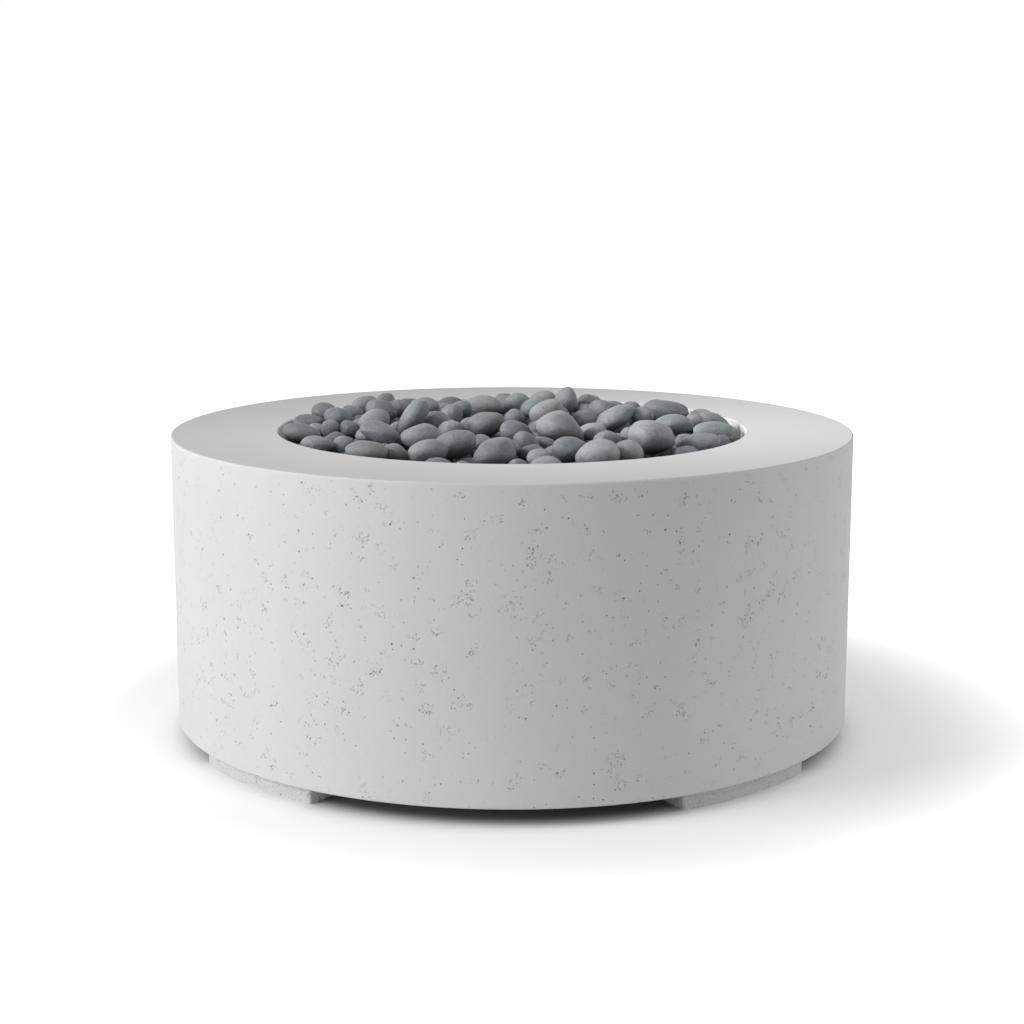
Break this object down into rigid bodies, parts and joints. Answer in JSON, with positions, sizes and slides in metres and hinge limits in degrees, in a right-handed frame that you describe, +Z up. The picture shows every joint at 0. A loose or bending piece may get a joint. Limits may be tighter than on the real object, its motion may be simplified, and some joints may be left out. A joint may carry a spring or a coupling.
{
  "type": "fire pit",
  "caption": "Round cast-concrete gas fire pit: a low drum on arc-shaped feet, its opening filled with tumbled stones over a ring burner, with a gas knob and spark button at the back.",
  "frame": {"origin": "on the floor, under the axis of the drum", "axes": "+Z up along the drum's axis, -Y towards the viewer's side, +Y out of the control panel"},
  "size_m": [1.067, 1.0667, 0.5278],
  "materials": {
    "cast_concrete": "matt, lightly pitted",
    "foot_concrete": "matt, rough",
    "stainless": "brushed",
    "tray_steel": "heat-resistant black",
    "burner_steel": "dull, heat-tinted",
    "zinc_steel": "zinc plated",
    "brass": "machined",
    "valve_alloy": "die cast",
    "knob_black": "black anodised",
    "igniter_body": "satin",
    "button_red": "gloss",
    "spring_steel": "bright",
    "hose_braid": "braided",
    "lead_rubber": "silicone",
    "probe_copper": "drawn tube",
    "white_ceramic": "unglazed",
    "pebble_under": "tumbled",
    "pebble_slate": "tumbled, satin",
    "pebble_ash": "tumbled, satin",
    "pebble_pearl": "tumbled, satin",
    "pebble_moss": "tumbled, satin",
    "pebble_umber": "tumbled, satin"
  },
  "bodies": {
    "fire_pit": {"air_mixer": "valve_alloy", "bracket_nuts": "zinc_steel", "bracket_screws": "stainless", "burner_hub": "burner_steel", "burner_inner_ring": "burner_steel", "burner_outer_ring": "burner_steel", "burner_saddles": "burner_steel", "burner_spokes": "burner_steel", "burner_tray": "tray_steel", "concrete_shell": "cast_concrete", "control_plate": "stainless", "electrode_insulator": "white_ceramic", "feed_elbow": "brass", "flame_probe": "probe_copper", "foot_bolts": "zinc_steel", "foot_front_left": "foot_concrete", "foot_front_right": "foot_concrete", "foot_inserts": "zinc_steel", "foot_rear_left": "foot_concrete", "foot_rear_right": "foot_concrete", "gas_hose": "hose_braid", "gas_nipple": "zinc_steel", "gas_orifice": "brass", "gas_valve": "valve_alloy", "hose_nut_burner": "brass", "hose_nut_valve": "brass", "igniter_barrel": "igniter_body", "igniter_lead": "lead_rubber", "igniter_nut": "igniter_body", "igniter_spring": "spring_steel", "inlet_elbow": "brass", "nipple_locknut": "brass", "pilot_bracket": "stainless", "pilot_hood": "stainless", "plate_anchors": "zinc_steel", "plate_screws": "stainless", "probe_lead": "probe_copper", "probe_nut": "brass", "push_spring": "spring_steel", "spark_electrode": "spring_steel", "stones_ash": "pebble_ash", "stones_moss": "pebble_moss", "stones_pearl": "pebble_pearl", "stones_slate": "pebble_slate", "stones_umber": "pebble_umber", "stones_under": "pebble_under", "valve_nut": "brass"},
    "plunger": {"push_rod": "stainless"},
    "knob": {"control_knob": "knob_black", "valve_stem": "brass", "knob_screw": "zinc_steel"},
    "button": {"igniter_button": "button_red"},
    "shutter": {"air_shutter": "zinc_steel", "shutter_screw": "brass"}
  },
  "joints": [
    {"name": "knob_push", "type": "slide", "parent": "fire_pit", "child": "plunger", "axis": [0, -1, 0], "range_m": [0, 0.004], "stiffness_N_per_m": 1500, "springref_m": -0.002, "deforming": ["push_spring"]},
    {"name": "knob_turn", "type": "hinge", "parent": "plunger", "child": "knob", "pos_m": [-0.04, 0.5, 0.147], "axis": [0, 1, 0], "range_deg": [0, 180]},
    {"name": "igniter_press", "type": "slide", "parent": "fire_pit", "child": "button", "axis": [0, -1, 0], "range_m": [0, 0.005], "stiffness_N_per_m": 1200, "springref_m": -0.002, "deforming": ["igniter_spring"]},
    {"name": "shutter_turn", "type": "hinge", "parent": "fire_pit", "child": "shutter", "pos_m": [0, 0, 0.325], "axis": [0, 0, 1], "range_deg": [0, 45]}
  ]
}
